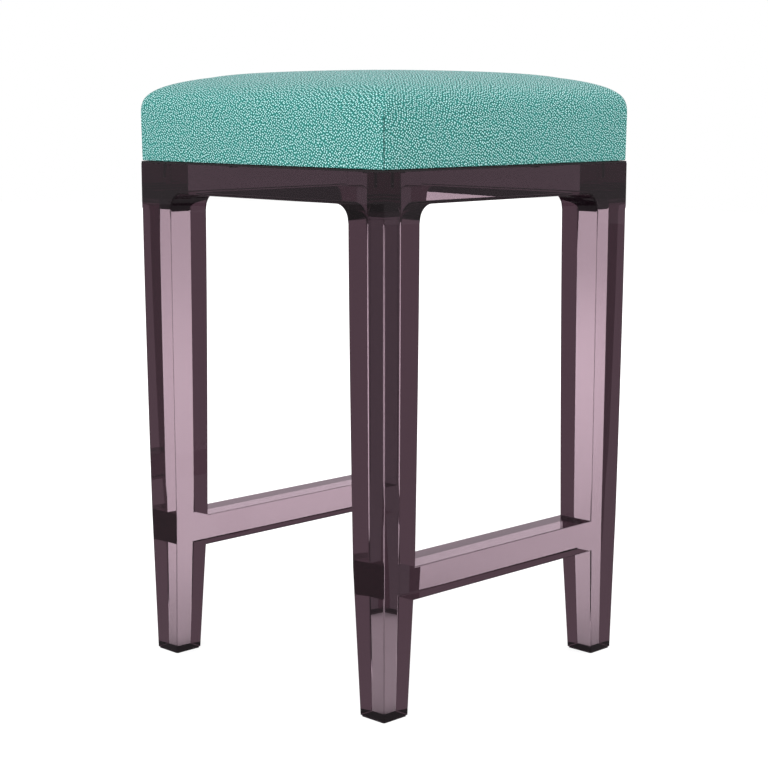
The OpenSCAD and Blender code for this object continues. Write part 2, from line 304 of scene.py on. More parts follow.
def cover_material():
    """Embossed shagreen: pale round pebbles on a darker ground, larger and smaller in drifts. The pale caps
    hold a painted highlight and the grooves painted shade, over the cloth's own two tones.
    """
    material, tree, shader = new_material("shagreen_cloth")
    place = tree.map()
    drift = tree.add("ShaderNodeTexNoise", {"Vector": place, "Scale": DRIFTS, "Detail": 1}, output="Color")
    push = tree.add("ShaderNodeVectorMath", {0: drift, 1: (0.5, 0.5, 0.5)}, operation="SUBTRACT")
    push = tree.add("ShaderNodeVectorMath", {0: push, "Scale": DRIFT}, operation="SCALE")
    bent = tree.add("ShaderNodeVectorMath", {0: place, 1: push}, operation="ADD")
    bent = stretched_along_sides(tree, place, bent)

    def pebbles(**settings):
        return tree.cells(bent, 1 / PEBBLE_PITCH, random=PEBBLE_RANDOM, voronoi_dimensions="2D", **settings)

    dome = tree.ramp(pebbles(feature="DISTANCE_TO_EDGE"), 0, DOME_FULL)
    tone = tree.add("ShaderNodeSeparateColor", {"Color": pebbles(output="Color")})
    tone = tree.ramp(tone, 0, 1, CAP_LEAST, 1, smooth=False)
    cap = tree.math("MULTIPLY", tree.ramp(pebbles(), CAP_END, CAP_FULL), tone)
    # Painted shade darkens each pebble's edge, in the grooves, and a painted highlight lightens its cap,
    # each over the cloth's own tone
    colour = tree.mix(dome, COVER_DARK_AND_SHADE, COVER_BODY)
    colour = tree.mix(cap, colour, COVER_PALE_AND_HIGHLIGHT)
    mottle = tree.ramp(tree.noise(place, 9, 3, 0.55), 0.35, 0.65, 0, 0.12)
    colour = tree.mix(mottle, colour, COVER_MOTTLE)
    seam = tree.ramp(tree.attribute("seam"), 0.35, 0.95, 0, 0.75)
    colour = tree.mix(seam, colour, COVER_SEAM)
    height = tree.math("ADD", tree.math("MULTIPLY", dome, 0.6), tree.math("MULTIPLY", cap, 0.4))
    tree.set(shader, {
        "Base Color": colour,
        "Roughness": tree.ramp(cap, 0, 1, 0.62, 0.42, smooth=False),
        "Normal": tree.bump(height, 0.8, PEBBLE_HEIGHT),
        "Sheen Weight": 0.1,
        "Sheen Roughness": 0.4,
        "Specular IOR Level": 0.4,
    })
    return material


def plate_material():
    """Black powder coat with a fine orange peel."""
    material, tree, shader = new_material("black_powder_coat")
    place = tree.place()
    peel = tree.noise(place, 900, 2, 0.5)
    cloud = tree.noise(place, 25, 3, 0.5)
    tree.set(shader, {
        "Base Color": tree.mix(cloud, (0.006, 0.006, 0.006, 1), (0.012, 0.011, 0.012, 1)),
        "Roughness": tree.ramp(cloud, 0.3, 0.7, 0.42, 0.55),
        "Normal": tree.bump(peel, 0.35, 0.0001),
    })
    return material


def screw_material():
    """Black oxide steel, rubbed bright here and there."""
    material, tree, shader = new_material("black_oxide_steel")
    place = tree.place()
    rub = tree.ramp(tree.noise(place, 420, 3, 0.6), 0.6, 0.78)
    turning = tree.noise(tree.stretch(place, (60, 60, 2600)), 1, 1, 0.5)
    tree.set(shader, {
        "Base Color": tree.mix(rub, (0.02, 0.02, 0.022, 1), (0.16, 0.16, 0.17, 1)),
        "Metallic": 0.8,
        "Roughness": tree.ramp(turning, 0.3, 0.7, 0.35, 0.5),
        "Normal": tree.bump(turning, 0.2, 0.00005),
    })
    return material


def zinc_material():
    """Zinc plate: bright, with a faint crystal pattern."""
    material, tree, shader = new_material("zinc_plate")
    place = tree.place()
    crystal = tree.add("ShaderNodeSeparateColor", {"Color": tree.cells(place, 500, output="Color")})
    tree.set(shader, {
        "Base Color": tree.mix(crystal, (0.42, 0.42, 0.41, 1), (0.66, 0.66, 0.64, 1)),
        "Metallic": 1,
        "Roughness": tree.ramp(crystal, 0, 1, 0.28, 0.45, smooth=False),
    })
    return material


# Plies of the seat board; every second one is darker at its edge
PLIES = 5


def plywood_material():
    """Birch plywood: long grain on the faces, its plies on the edges."""
    material, tree, shader = new_material("birch_plywood")
    place = tree.place()
    grain = tree.noise(tree.stretch(place, (8, 140, 140)), 1, 4, 0.6)
    height = tree.add("ShaderNodeSeparateXYZ", {"Vector": place}, output="Z")
    board_z = HEM_Z + COVER_T
    rise = tree.math("SUBTRACT", height, board_z)
    ply = tree.math("MULTIPLY", rise, math.pi * PLIES / (BOARD_TOP - board_z))
    ply = tree.ramp(tree.math("SINE", ply), -0.15, 0.15)
    wood = tree.mix(grain, (0.60, 0.42, 0.24, 1), (0.78, 0.60, 0.39, 1))
    dark = tree.mix(grain, (0.42, 0.27, 0.14, 1), (0.55, 0.38, 0.22, 1))
    tree.set(shader, {
        "Base Color": tree.mix(tree.math("MULTIPLY", ply, 0.5), wood, dark),
        "Roughness": tree.ramp(grain, 0.3, 0.7, 0.55, 0.75),
        "Normal": tree.bump(grain, 0.3, 0.0004),
    })
    return material


def rubber_material():
    """Black rubber with a dull skin."""
    material, tree, shader = new_material("black_rubber")
    place = tree.place()
    grain = tree.noise(place, 1500, 2, 0.6)
    dust = tree.ramp(tree.noise(place, 120, 3, 0.6), 0.5, 0.75)
    tree.set(shader, {
        "Base Color": tree.mix(dust, (0.021, 0.014, 0.018, 1), (0.04, 0.031, 0.035, 1)),
        "Roughness": tree.ramp(grain, 0.3, 0.7, 0.7, 0.9),
        "Normal": tree.bump(grain, 0.4, 0.0001),
    })
    return material


def dust_cloth_material():
    """Black spun-bonded cloth with its grid of weld points."""
    material, tree, shader = new_material("black_dust_cloth")
    place = tree.place()
    weld = tree.ramp(tree.cells(place, 420, random=0.15), 0.35, 0.2)
    fibre = tree.noise(place, 2600, 3, 0.7)
    tree.set(shader, {
        "Base Color": tree.mix(weld, (0.014, 0.014, 0.015, 1), (0.035, 0.035, 0.037, 1)),
        "Roughness": tree.ramp(weld, 0, 1, 0.9, 0.6),
        "Normal": tree.bump(tree.math("SUBTRACT", fibre, weld), 0.5, 0.0001),
    })
    return material


def foam_material():
    """Cream upholstery foam with open cells."""
    material, tree, shader = new_material("cream_foam")
    place = tree.place()
    cells = tree.cells(place, 900, feature="DISTANCE_TO_EDGE")
    shade = tree.noise(place, 14, 2, 0.5)
    tree.set(shader, {
        "Base Color": tree.mix(shade, (0.78, 0.66, 0.40, 1), (0.88, 0.78, 0.52, 1)),
        "Roughness": tree.ramp(cells, 0, 0.3, 0.8, 0.95),
        "Normal": tree.bump(cells, 0.8, 0.0004),
    })
    return material


def batting_material():
    """White polyester batting, its fibres lying every way."""
    material, tree, shader = new_material("white_batting")
    place = tree.place()
    fibre = tree.noise(tree.stretch(place, (700, 260, 700)), 1, 4, 0.75)
    loft = tree.noise(place, 60, 3, 0.6)
    tree.set(shader, {
        "Base Color": tree.mix(loft, (0.78, 0.78, 0.76, 1), (0.90, 0.90, 0.88, 1)),
        "Roughness": tree.ramp(fibre, 0.3, 0.7, 0.8, 1.0),
        "Normal": tree.bump(tree.math("ADD", fibre, loft), 0.7, 0.0008),
    })
    return material


# Meshes

class Skin:
    """A mesh built face by face, where equal points are one point."""

    def __init__(self):
        self.mesh = bmesh.new()
        self.points = {}

    def point(self, place):
        key = tuple(round(c, 7) for c in place)
        if key not in self.points:
            self.points[key] = self.mesh.verts.new(place)
        return self.points[key]

    def face(self, *places):
        self.mesh.faces.new([self.point(p) for p in places])

    def finish(self, name):
        bmesh.ops.recalc_face_normals(self.mesh, faces=self.mesh.faces)
        data = bpy.data.meshes.new(name)
        self.mesh.to_mesh(data)
        self.mesh.free()
        made = bpy.data.objects.new(name, data)
        scene.collection.objects.link(made)
        return made


def pairs(items):
    """Each item with the one after it."""
    return list(zip(items, items[1:]))


def turned(x, y, side):
    """Turns a point of the front side to side 0 front, 1 right, 2 rear or 3 left."""
    for _ in range(side):
        x, y = -y, x
    return x, y


def with_modifiers(piece):
    """Applies a piece's modifiers to its mesh."""
    graph = bpy.context.evaluated_depsgraph_get()
    data = bpy.data.meshes.new_from_object(piece.evaluated_get(graph), depsgraph=graph)
    piece.modifiers.clear()
    piece.data = data


def add_finer(piece):
    """A modifier with one step of subdivision."""
    finer = piece.modifiers.new("finer", "SUBSURF")
    finer.levels = finer.render_levels = 1


def add_thickness(piece, thickness):
    """A modifier that thickens a sheet inwards."""
    thick = piece.modifiers.new("thickness", "SOLIDIFY")
    thick.thickness = thickness
    thick.offset = -1


# Clear frame

# Material indexes that tell the flat faces from the round edges until the frame is done
FLAT = 0
ROUND = 1


def bend_left(z):
    """What is left of a leg's bend at height z, from 1 at the knee to 0 under the rail."""
    return max(0.0, (FILLET_Z - z) / (FILLET_Z - KNEE_Z)) ** BEND_POWER


def outer_at(z):
    """How far a leg's outer faces are set in at height z."""
    if z <= KNEE_Z:
        return FOOT_INSET + (KNEE_INSET - FOOT_INSET) * (z - PAD_T) / (KNEE_Z - PAD_T)
    return KNEE_INSET * bend_left(z)


def inner_at(z):
    """Distance of a leg's inner faces from the frame's outer plane at height z."""
    if z <= KNEE_Z:
        foot, knee = FOOT_INSET + FOOT_W, KNEE_INSET + KNEE_W
        return foot + (knee - foot) * (z - PAD_T) / (KNEE_Z - PAD_T)
    return LEG - (LEG - KNEE_INSET - KNEE_W) * bend_left(z)


def add_leg(skin, sx, sy):
    """One leg, open where the rails and, on the X side, the stretcher join it."""
    foot_z = PAD_T - WET_CONTACT
    top_z = FRAME_TOP + WET_CONTACT
    levels = [foot_z, STRETCHER_Z, KNEE_Z]
    levels += [KNEE_Z + (FILLET_Z - KNEE_Z) * i / BEND_STEPS for i in range(1, BEND_STEPS)]
    levels += [FILLET_Z - BREAK_FADE, FILLET_Z]

    def corner(x_inset, y_inset, z):
        return (sx * (HALF - x_inset), sy * (HALF - y_inset), z)

    def band(x_of, y_of, low, high):
        """A face between two heights, from one upright edge to another, each given by its insets."""
        skin.face(
            corner(x_of[0](low), y_of[0](low), low), corner(x_of[1](low), y_of[1](low), low),
            corner(x_of[1](high), y_of[1](high), high), corner(x_of[0](high), y_of[0](high), high),
        )

    out, inn = outer_at, inner_at
    for low, high in pairs(levels):
        band((out, out), (out, inn), low, high)
        band((out, inn), (out, out), low, high)
        band((out, inn), (inn, inn), low, high)
        if low != STRETCHER_Z:
            band((inn, inn), (out, inn), low, high)
    fade = corner(0, 0, FILLET_Z + BREAK_FADE)
    for x, y in ((0, LEG), (LEG, 0)):
        skin.face(corner(0, 0, FILLET_Z), corner(x, y, FILLET_Z), fade)
        skin.face(fade, corner(x, y, FILLET_Z), corner(x, y, top_z), corner(0, 0, top_z))
    for z in (foot_z, top_z):
        a, b = outer_at(z), inner_at(z)
        skin.face(corner(a, a, z), corner(b, a, z), corner(b, b, z), corner(a, b, z))


def side_place(side, along, depth, z):
    """A point at a distance along a side and a depth in from its outer plane."""
    x, y = turned(along, depth - HALF, side)
    return (x, y, z)


def add_rail(skin, side):
    """A rail with a rounded corner under each end, in upright strips."""
    top_z = FRAME_TOP + WET_CONTACT
    end = HALF - LEG
    half = []
    for i in range(FILLET_STEPS + 1):
        turn = math.pi / 2 * i / FILLET_STEPS
        half.append((end - FILLET_R * (1 - math.cos(turn)), FILLET_Z + FILLET_R * math.sin(turn)))
    profile = half + [(-x, z) for x, z in reversed(half)]
    for (a, az), (b, bz) in pairs(profile):
        for depth in (0, LEG):
            skin.face(
                side_place(side, a, depth, az), side_place(side, b, depth, bz),
                side_place(side, b, depth, top_z), side_place(side, a, depth, top_z),
            )
        for z_a, z_b in ((az, bz), (top_z, top_z)):
            skin.face(
                side_place(side, a, 0, z_a), side_place(side, b, 0, z_b),
                side_place(side, b, LEG, z_b), side_place(side, a, LEG, z_a),
            )


def add_stretcher(skin, side):
    """A stretcher flush with the legs' outer and inner faces."""

    def edge(z, depth_of):
        end = HALF - inner_at(z)
        return [side_place(side, sign * end, depth_of(z), z) for sign in (-1, 1)]

    low_out, low_in = edge(STRETCHER_Z, outer_at), edge(STRETCHER_Z, inner_at)
    high_out, high_in = edge(KNEE_Z, outer_at), edge(KNEE_Z, inner_at)
    for a, b in ((low_out, high_out), (high_out, high_in), (high_in, low_in), (low_in, low_out)):
        skin.face(a[0], a[1], b[1], b[0])


def edge_softness(edge):
    """Share of the full edge break: none along the top and upright beside the rails, little at the feet."""
    if edge.calc_face_angle() < BROKEN_ANGLE or not edge.is_convex:
        return 0.0
    low, high = sorted((v.co for v in edge.verts), key=lambda place: place.z)
    upright = (high - low).xy.length < WET_CONTACT
    beside_rails = upright and low.z > FILLET_Z - BREAK_FADE / 2
    if beside_rails or low.z > FRAME_TOP:
        return 0.0
    return FOOT_SOFTNESS if high.z < PAD_T else 1.0


def break_edges(piece, material):
    """Rounds the outer edges, and gives flat and round faces their own material indexes."""
    mesh = bmesh.new()
    mesh.from_mesh(piece.data)
    softness = [edge_softness(edge) for edge in mesh.edges]
    mesh.free()
    weight = piece.data.attributes.new("bevel_weight_edge", "FLOAT", "EDGE")
    weight.data.foreach_set("value", softness)
    piece.data.materials.append(material)
    piece.data.materials.append(material)
    bevel = piece.modifiers.new("edge_break", "BEVEL")
    bevel.width = EDGE_BREAK
    bevel.segments = EDGE_SEGMENTS
    bevel.limit_method = "WEIGHT"
    bevel.use_clamp_overlap = False
    bevel.material = ROUND
    with_modifiers(piece)


def shade_flat_faces(data):
    """Keeps the flat faces truly flat in their shading, and runs the round edges into them."""
    around = [[] for _ in data.vertices]
    for face in data.polygons:
        face.use_smooth = True
        for v in face.vertices:
            around[v].append(face)
    normals = []
    for face in data.polygons:
        for v in face.vertices:
            flats = [f for f in around[v] if f.material_index == FLAT]
            if face.material_index == FLAT:
                flats = [f for f in flats if f.normal.dot(face.normal) > SAME_FACE]
            elif not flats or any(f.normal.dot(flats[0].normal) < SAME_FACE for f in flats):
                flats = around[v]
            normals.append(sum((f.normal * f.area ** 2 for f in flats), Vector()).normalized())
    data.normals_split_custom_set(normals)


def make_clear_frame():
    """Legs, rails and stretchers, cemented into one clear piece, with every edge broken and polished."""
    skin = Skin()
    for sx in (-1, 1):
        for sy in (-1, 1):
            add_leg(skin, sx, sy)
    for side in range(4):
        add_rail(skin, side)
    for side in (0, 2):
        add_stretcher(skin, side)
    piece = skin.finish("clear_frame")
    acrylic = acrylic_material()
    break_edges(piece, acrylic)
    shade_flat_faces(piece.data)
    for face in piece.data.polygons:
        face.material_index = FLAT
    piece.data.materials.clear()
    piece.data.materials.append(acrylic)
    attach(piece, "root")
    legs = [f"leg_{y}_{x}" for y in ("front", "rear") for x in ("left", "right")]
    rails = [f"rail_{side}" for side in ("front", "rear", "left", "right")]
    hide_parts(*legs, *rails, "stretcher_front", "stretcher_rear")


# Seat

# Rings of the cover's mesh: on the crown, the walls, round the lower lip and along the hem
CROWN_RINGS = 38
WALL_RINGS = 10
LIP_RINGS = 4
HEM_RINGS = 5
LIP_R = 0.0016
# Rings of the batting and the foam: on the crown and the walls
INNER_RINGS = 20
INNER_WALL_RINGS = 5
# Points on the crown's curve from which the rings' places are read
PROFILE_SAMPLES = 4000
# The seat's corners keep at least this share of their radius in the layers underneath
LEAST_R_SHARE = 0.25
# How strongly the columns of the mesh gather at the corner seams, and the rings at the crown's edge
GATHER = 1.6
RING_GATHER = 1.35


def layer_r(inset):
    """Radius of the corners of a layer that lies this far inside the cover."""
    return max(SEAT_R - inset, SEAT_R * LEAST_R_SHARE)


def crown_profile(inset, count):
    """Shares of the crown's half width in ever shorter steps to its edge, and the ways down to them."""
    angle = np.linspace(0, math.pi / 2, PROFILE_SAMPLES)
    share = np.sin(angle)
    out = (SEAT_HALF + SIDE_FLARE - inset) * share
    up = (CROWN_H - inset) * (1 - share ** EDGE_POWER).clip(0) ** CROWN_POWER
    path = np.concatenate([[0], np.cumsum(np.hypot(np.diff(out), np.diff(up)))])
    ways = path[-1] * (1 - np.linspace(1, 0, count + 1) ** RING_GATHER)
    return np.interp(ways, path, share), ways


class Level:
    """One level of the seat's form: a square with rounded corners and bowed sides.

    Its path is the way down the cloth to it, from the middle of the crown.
    """

    def __init__(self, half, r, bow, z, path):
        self.half = half
        self.r = r
        self.bow = bow
        self.z = z
        self.path = path

    def at(self, side, t):
        """The point at t from -1 to 1 along a side, between the middles of its corners."""
        if self.half == 0:
            return (0, 0, self.z)
        straight = self.half - self.r
        reach = straight + self.r * math.pi / 4
        d = abs(t) * reach
        if d <= straight:
            along = d
            out = self.half + self.bow * (1 - (d / straight) ** 2)
        else:
            turn = (d - straight) / self.r
            along = straight + self.r * math.sin(turn)
            out = straight + self.r * math.cos(turn)
        x, y = turned(math.copysign(along, t), -out, side)
        return (x, y, self.z)

    def seam_distance(self, t):
        """Distance along the side from the corner seam."""
        return (1 - abs(t)) * (self.half - self.r + self.r * math.pi / 4)


def wall_level(inset, z, path):
    """A level of the seat's sides, which lean out and bow more towards their tops."""
    rise = (z - HEM_Z) / SIDE_H
    bow = SIDE_BOW * math.sin(math.pi / 2 * min(max(rise, 0), 1))
    return Level(SEAT_HALF + SIDE_FLARE * rise - inset, layer_r(inset), bow, z, path)


def crown_levels(inset, count):
    """Levels from the first ring round the crown's middle to its edge, and the length of the way there."""
    shares, ways = crown_profile(inset, count)
    edge_half = SEAT_HALF + SIDE_FLARE - inset
    levels = []
    for share, way in zip(shares[1:], ways[1:]):
        half = edge_half * share
        r = min(layer_r(inset) + ROUND_SHARE * (edge_half - half), ROUND_CAP * half)
        z = SPRING_Z + (CROWN_H - inset) * max(0.0, 1 - share ** EDGE_POWER) ** CROWN_POWER
        levels.append(Level(half, r, SIDE_BOW * share, z, way))
    return levels, ways[-1]


def gathered(i, count):
    """Position of column i of count on each side of the middle, drawn towards the ends."""
    t = i / count
    return math.copysign(1 - (1 - abs(t)) ** GATHER, t)


class Form:
    """A quad mesh of the seat's form: a square grid on the crown, then rings down the walls."""

    def __init__(self, levels, crown_n):
        self.n = crown_n
        self.levels = levels
        self.edge = levels[crown_n - 1]
        self.places = []
        self.columns = []
        self.faces = []
        self.grid = {}
        self.build()

    def add(self, level, side, t):
        self.places.append(level.at(side, t))
        self.columns.append((level, side, t))
        return len(self.places) - 1

    def on_map(self, point, side):
        """Place of a point on the flat cloth: the crown spread out, the walls folded out round it."""
        level, own_side, t = self.columns[point]
        if level.half == 0:
            return (0, 0)
        x, y, _ = level.at(own_side, t)
        along, out = turned(x, y, (4 - side) % 4)
        out = -out
        if level.path <= self.edge.path:
            spread = level.path / level.half
            return turned(along * spread, -out * spread, side)
        spread = self.edge.path / level.half
        return turned(along * spread, -(level.path + self.edge.path * (out / level.half - 1)), side)

    def build(self):
        n = self.n
        self.grid[(0, 0)] = self.add(Level(0, 0, 0, self.levels[0].z, 0), 0, 0)
        for i in range(-n, n + 1):
            for j in range(-n, n + 1):
                k = max(abs(i), abs(j))
                if k:
                    side, step = self.side_step(i, j, k)
                    self.grid[(i, j)] = self.add(self.levels[k - 1], side, gathered(step, k))
        for i in range(-n, n):
            for j in range(-n, n):
                corners = [(i, j), (i + 1, j), (i + 1, j + 1), (i, j + 1)]
                self.faces.append([self.grid[c] for c in corners])
        ring = [self.grid[c] for c in self.border()]
        for level in self.levels[n:]:
            lower = []
            for side in range(4):
                for step in range(-n, n):
                    lower.append(self.add(level, side, gathered(step, n)))
            count = len(ring)
            for a in range(count):
                b = (a + 1) % count
                self.faces.append([ring[a], lower[a], lower[b], ring[b]])
            ring = lower
        self.last_ring = ring

    def side_step(self, i, j, k):
        """Side that a crown point belongs to, and its step from the middle of that side."""
        if j == -k:
            return 0, i
        if i == k:
            return 1, j
        if j == k:
            return 2, -i
        return 3, -j

    def border(self):
        """Grid places round the crown's edge, in the order of the rings below."""
        n = self.n
        for i in range(-n, n):
            yield (i, -n)
        for j in range(-n, n):
            yield (n, j)
        for i in range(n, -n, -1):
            yield (i, n)
        for j in range(n, -n, -1):
            yield (-n, j)

    def object(self, name):
        """The form as a mesh object, with its flat map and the points' ways from seam and middle."""
        data = bpy.data.meshes.new(name)
        data.from_pydata(self.places, [], self.faces)
        piece = bpy.data.objects.new(name, data)
        scene.collection.objects.link(piece)
        flat = data.uv_layers.new(name="cloth").data
        for face in data.polygons:
            side = self.face_side(face.vertices)
            for loop in face.loop_indices:
                flat[loop].uv = self.on_map(data.loops[loop].vertex_index, side)
        away = data.attributes.new("seam_distance", "FLOAT", "POINT")
        away.data.foreach_set("value", [level.seam_distance(t) for level, _, t in self.columns])
        down = data.attributes.new("path", "FLOAT", "POINT")
        down.data.foreach_set("value", [level.path for level, _, _ in self.columns])
        for face in data.polygons:
            face.use_smooth = True
        return piece

    def face_side(self, points):
        """Side that most of a face's points lie on; a corner point belongs to both of its sides."""
        inside = [self.columns[p][1] for p in points if abs(self.columns[p][2]) < 1]
        return max(set(inside), key=inside.count) if inside else self.columns[points[0]][1]


def wall_levels(inset, low_z, count, path):
    """Levels from just under the crown's edge down to a height."""
    steps = [SPRING_Z + (low_z - SPRING_Z) * i / count for i in range(1, count + 1)]
    return [wall_level(inset, z, path + SPRING_Z - z) for z in steps]


def lip_levels(path):
    """Levels round the cover's lower edge and in along its hem."""
    levels = []
    for i in range(1, LIP_RINGS + 1):
        turn = math.pi / 2 * i / LIP_RINGS
        drawn = LIP_R * (1 - math.cos(turn))
        z = HEM_Z + LIP_R * (1 - math.sin(turn))
        levels.append(Level(SEAT_HALF - drawn, SEAT_R - drawn, 0, z, path + LIP_R * turn))
    path += LIP_R * math.pi / 2
    for i in range(1, HEM_RINGS + 1):
        drawn = LIP_R + (HEM_W - LIP_R) * i / HEM_RINGS
        levels.append(Level(SEAT_HALF - drawn, SEAT_R * LEAST_R_SHARE, 0, HEM_Z, path + drawn - LIP_R))
    return levels


# Width of a seam's groove either side of its middle, and length of the seam above the crown's edge
SEAM_WIDTH = 0.0011
SEAM_RUN = 0.022
# Least share of a seam's hold that still holds the cloth, and of its groove's depth that is still cut
SEAM_HOLDS = 0.3
SEAM_SHOWS = 0.001

# How far the cover may swell, and the simulated rise at which it comes near that
PUFF = 0.0009
PUFF_SOFTNESS = 0.003
SIM_FRAMES = 20
CLOTH = {
    "quality": 6,
    "mass": 0.2,
    "tension_stiffness": 20,
    "compression_stiffness": 20,
    "shear_stiffness": 10,
    "bending_stiffness": 0.8,
    "use_pressure": True,
    "uniform_pressure_force": 2,
}


def cover_levels():
    """The cover before it swells: crown, walls, lower lip and hem."""
    crown, path = crown_levels(0, CROWN_RINGS)
    low_z = HEM_Z + LIP_R
    walls = wall_levels(0, low_z, WALL_RINGS, path)
    return crown + walls + lip_levels(walls[-1].path)


def seam_reach(path, edge_path):
    """How far a corner seam holds at a way down the cloth: fully on the walls, fading out on the crown."""
    return np.clip((path - (edge_path - SEAM_RUN)) / SEAM_RUN, 0, 1)


def swell(piece, form):
    """Each point's step as the cover swells under pressure, held along its hem and its corner seams."""
    edge_path = form.edge.path
    hem_path = form.levels[CROWN_RINGS + WALL_RINGS - 1].path
    held = piece.vertex_groups.new(name="held")
    hold = []
    for i, (level, _, t) in enumerate(form.columns):
        on_seam = abs(t) == 1 and seam_reach(level.path, edge_path) > SEAM_HOLDS
        if on_seam or level.path >= hem_path:
            hold.append(i)
    held.add(hold, 1.0, "REPLACE")
    cloth = piece.modifiers.new("cloth", "CLOTH")
    for name, value in CLOTH.items():
        setattr(cloth.settings, name, value)
    cloth.settings.effector_weights.gravity = 0
    cloth.settings.vertex_group_mass = "held"
    cloth.collision_settings.use_collision = False
    cloth.point_cache.frame_end = SIM_FRAMES
    start = np.array(form.places)
    for number in range(1, SIM_FRAMES + 1):
        scene.frame_set(number)
    graph = bpy.context.evaluated_depsgraph_get()
    swollen = np.array([v.co for v in piece.evaluated_get(graph).data.vertices])
    piece.modifiers.remove(cloth)
    piece.vertex_groups.remove(held)
    outward = np.array([v.normal for v in piece.data.vertices])
    rise = ((swollen - start) * outward).sum(axis=1).clip(0)
    return outward * (PUFF * np.tanh(rise / PUFF_SOFTNESS))[:, None]


def make_cover():
    """The sewn cover: a sheet over crown, walls and hem, swollen, then creased along its seams."""
    form = Form(cover_levels(), CROWN_RINGS)
    piece = form.object("seat_cover_cloth")
    for vertex, step in zip(piece.data.vertices, swell(piece, form)):
        vertex.co += Vector(step)
    add_finer(piece)
    with_modifiers(piece)
    crease_seams(piece, form.edge.path)
    add_thickness(piece, COVER_T)
    with_modifiers(piece)
    piece.data.materials.append(cover_material())
    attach(piece, "root")
    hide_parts("seat_cover")


def crease_seams(piece, edge_path):
    """Sinks a narrow groove along each corner seam, and marks it for the material."""
    data = piece.data
    away = read_floats(data, "seam_distance")
    path = read_floats(data, "path")
    reach = seam_reach(path, edge_path) * (path < edge_path + SIDE_H)
    groove = reach * np.exp(-(away / SEAM_WIDTH) ** 2)
    for vertex, depth in zip(data.vertices, groove):
        if depth > SEAM_SHOWS:
            vertex.co -= vertex.normal * (SEAM_DEPTH * depth)
    mark = data.attributes.new("seam", "FLOAT", "POINT")
    mark.data.foreach_set("value", groove)


def read_floats(data, name):
    """A mesh attribute with one number for each point."""
    values = np.zeros(len(data.vertices))
    data.attributes[name].data.foreach_get("value", values)
    return values


def make_batting():
    """The batting wrap: a thick soft shell over the foam, open underneath."""
    inset = COVER_T + SOFT_GAP
    levels, path = crown_levels(inset, INNER_RINGS)
    levels += wall_levels(inset, BOARD_TOP, INNER_WALL_RINGS, path)
    piece = Form(levels, INNER_RINGS).object("batting_fill")
    add_finer(piece)
    add_thickness(piece, BATTING_T)
    with_modifiers(piece)
    piece.data.materials.append(batting_material())
    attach(piece, "root")
    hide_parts("batting_wrap")


def make_foam():
    """The foam block: crowned, cut flat where it rests on the board."""
    inset = COVER_T + BATTING_T + 2 * SOFT_GAP
    levels, path = crown_levels(inset, INNER_RINGS)
    levels += wall_levels(inset, BOARD_TOP, INNER_WALL_RINGS, path)
    form = Form(levels, INNER_RINGS)
    form.faces.append(list(reversed(form.last_ring)))
    piece = form.object("foam_block")
    piece.data.polygons[-1].use_smooth = False
    piece.data.materials.append(foam_material())
    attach(piece, "root")
    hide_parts("foam_pad")


# Steps of the dust cover's mesh, height of its ripples, and how fast they follow each other both ways
DUST_STEPS = 72
DUST_WAVE = 0.00006
DUST_RIPPLE_X = 90
DUST_RIPPLE_Y = 117
DUST_HOLE_R = 0.006
# Share of the solid's thickness that the cloth has
DUST_THINNESS = 0.5
SEAT_WASHER_D = 0.0144


def make_dust_cover():
    """The dust cover: thin black cloth held flat under the board, with a hole round each seat screw."""
    low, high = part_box("dust_cover")
    size = high.x - low.x
    mesh = bmesh.new()
    bmesh.ops.create_grid(mesh, x_segments=DUST_STEPS, y_segments=DUST_STEPS, size=size / 2)
    screws = seat_screw_places()
    for vertex in mesh.verts:
        ripple = math.sin(vertex.co.x * DUST_RIPPLE_X) * math.sin(vertex.co.y * DUST_RIPPLE_Y)
        vertex.co.z = high.z - DUST_WAVE * (1 + ripple)

    def near_screw(face):
        middle = face.calc_center_median().xy
        return any((middle - screw).length < DUST_HOLE_R for screw in screws)

    bmesh.ops.delete(mesh, geom=[f for f in mesh.faces if near_screw(f)], context="FACES")
    for vertex in mesh.verts:
        screw = min(screws, key=lambda s: (vertex.co.xy - s).length)
        away = vertex.co.xy - screw
        if vertex.is_boundary and away.length < 2 * DUST_HOLE_R:
            vertex.co.xy = screw + away.normalized() * DUST_HOLE_R
    data = bpy.data.meshes.new("dust_cover_cloth")
    mesh.to_mesh(data)
    mesh.free()
    piece = bpy.data.objects.new("dust_cover_cloth", data)
    scene.collection.objects.link(piece)
    add_thickness(piece, (high.z - low.z) * DUST_THINNESS)
    with_modifiers(piece)
    piece.data.materials.append(dust_cloth_material())
    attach(piece, "root")
    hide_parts("dust_cover")


def seat_screw_places():
    """Centres of the four seat screws, from the box round their washers."""
    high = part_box("seat_washers")[1]
    washer_r = SEAT_WASHER_D / 2
    x, y = high.x - washer_r, high.y - washer_r
    return [Vector((sx * x, sy * y)) for sx in (-1, 1) for sy in (-1, 1)]


# Floor, light and world

# Brightness of the room in a reflection, after a reflection inside the acrylic, and straight through it
FLOOR_REFLECTED = (0.28, 0.24, 0.26, 1)
ROOM_REFLECTED = (0.46, 0.39, 0.43, 1)
CEILING_REFLECTED = (0.82, 0.66, 0.75, 1)
ROOM_INSIDE = (0.15, 0.112, 0.13, 1)
ROOM_THROUGH = (0.008, 0.006, 0.008, 1)
ROOM_THROUGH_TWICE = (0.235, 0.265, 0.255, 1)
# Heights of a ray's way up, of 1, between which the wall turns into the ceiling
CEILING_FROM = 0.05
CEILING_TO = 0.2
WHITE = (1, 1, 1, 1)
BLACK = (0, 0, 0, 1)

# Corners of the floor in metres to the right of the stool and behind it, as the camera looks. Its far
# edges show through the acrylic, as borders between the pale floor and the dim room.
FLOOR_CORNERS = ((-9, -9), (9, -9), (7, 0.8), (0.16, 10.35), (-0.15, 10.05), (-0.2, 8.9), (-9, 8.9))
